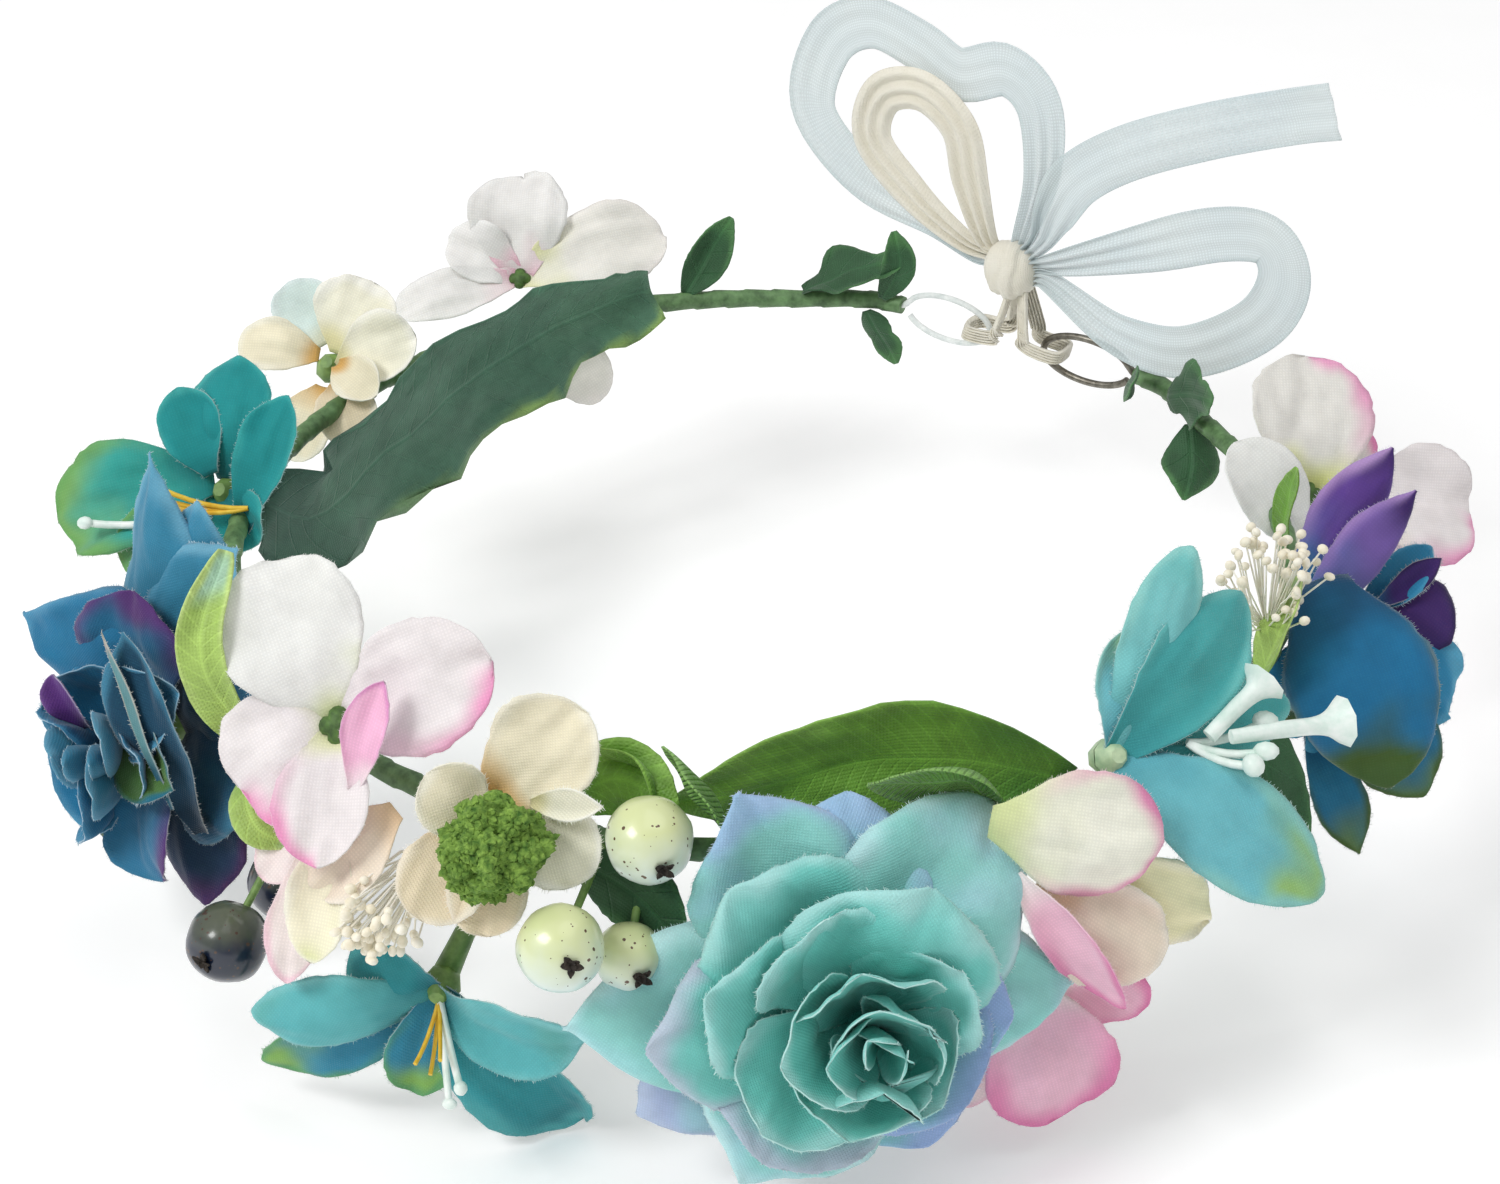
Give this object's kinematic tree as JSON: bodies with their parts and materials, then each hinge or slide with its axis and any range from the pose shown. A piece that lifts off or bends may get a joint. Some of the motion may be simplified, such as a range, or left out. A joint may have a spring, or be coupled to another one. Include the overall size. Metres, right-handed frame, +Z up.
{
  "type": "flower crown",
  "caption": "Head wreath of silk roses, lilies, leaves and berries on a taped wire ring, tied at the back with a sheer ribbon bow.",
  "frame": {"origin": "centre of the wire ring, in the ring's plane", "axes": "+Z up out of the ring's plane, as it is worn; +Y towards the gap and the bow at the back of the head; +X completes the right-handed frame, and the ring lies in the XY plane"},
  "size_m": [0.2331, 0.2111, 0.1081],
  "materials": {
    "steel": "bare iron florist's wire, dull",
    "tape": "waxed green florist's tape",
    "leaf": "matte stiffened polyester leaf, dark green",
    "bright_leaf": "matte stiffened polyester leaf, bright green",
    "turquoise": "matte turquoise polyester with a fine weave",
    "blue": "matte peacock blue polyester with purple edges",
    "teal": "matte teal polyester with green tips",
    "white_pink": "matte white polyester with pink edges",
    "cream": "matte cream polyester",
    "cream_buds": "cream plastic stamens and buds",
    "pale_berry": "pale green lacquered foam with dark specks",
    "dark_berry": "dark olive lacquered foam with brown specks",
    "moss": "green flocked foam",
    "ribbon": "sheer off-white organza ribbon"
  },
  "bodies": {
    "crown": {"core_wire": "steel", "cream_flower_centre": "bright_leaf", "cream_flower_petals": "cream", "cut_stem": "pale_berry", "dark_berry_back": "dark_berry", "dark_berry_front": "dark_berry", "front_leaf": "bright_leaf", "front_lily_core": "leaf", "front_lily_petals": "teal", "left_babys_breath": "cream_buds", "left_blue_rose_bud": "blue", "left_blue_rose_calyx": "leaf", "left_blue_rose_inner_petals": "blue", "left_blue_rose_outer_petals": "blue", "left_eyelet": "steel", "left_twist_leaf": "bright_leaf", "left_vine_leaf_hanging": "leaf", "left_vine_leaf_pair": "leaf", "left_vine_leaf_rear": "leaf", "long_leaf": "leaf", "low_pink_floret_centre": "bright_leaf", "low_pink_floret_petals": "white_pink", "moss_ball": "moss", "pale_berry_left": "pale_berry", "pale_berry_right": "pale_berry", "pink_floret_centre": "bright_leaf", "pink_floret_petals": "white_pink", "rear_cream_flower_centre": "bright_leaf", "rear_cream_flower_petals": "cream", "rear_lily_core": "leaf", "rear_lily_petals": "teal", "rear_white_floret_centre": "bright_leaf", "rear_white_floret_petals": "white_pink", "right_babys_breath": "cream_buds", "right_blue_rose_bud": "blue", "right_blue_rose_calyx": "leaf", "right_blue_rose_inner_petals": "blue", "right_blue_rose_outer_petals": "blue", "right_eyelet": "steel", "right_lily_core": "leaf", "right_lily_petals": "teal", "right_low_leaf": "leaf", "right_ribbed_leaf": "bright_leaf", "right_vine_leaf_low": "leaf", "right_vine_leaf_pair": "leaf", "right_white_floret_centre": "bright_leaf", "right_white_floret_petals": "white_pink", "stem_tape": "tape", "turquoise_rose_bud": "turquoise", "turquoise_rose_calyx": "leaf", "turquoise_rose_inner_petals": "turquoise", "turquoise_rose_middle_petals": "turquoise", "turquoise_rose_outer_petals": "turquoise"},
    "bow": {"bow_knot": "ribbon", "bow_large_loop": "ribbon", "bow_right_loop": "ribbon", "bow_small_loop": "ribbon", "bow_tail": "ribbon", "left_ribbon_strap": "ribbon", "right_ribbon_strap": "ribbon"}
  },
  "joints": [
    {"name": "bow_swing", "type": "hinge", "parent": "crown", "child": "bow", "pos_m": [0, 0.0875, 0], "axis": [1, 0, 0], "range_deg": [-35, 18]}
  ]
}
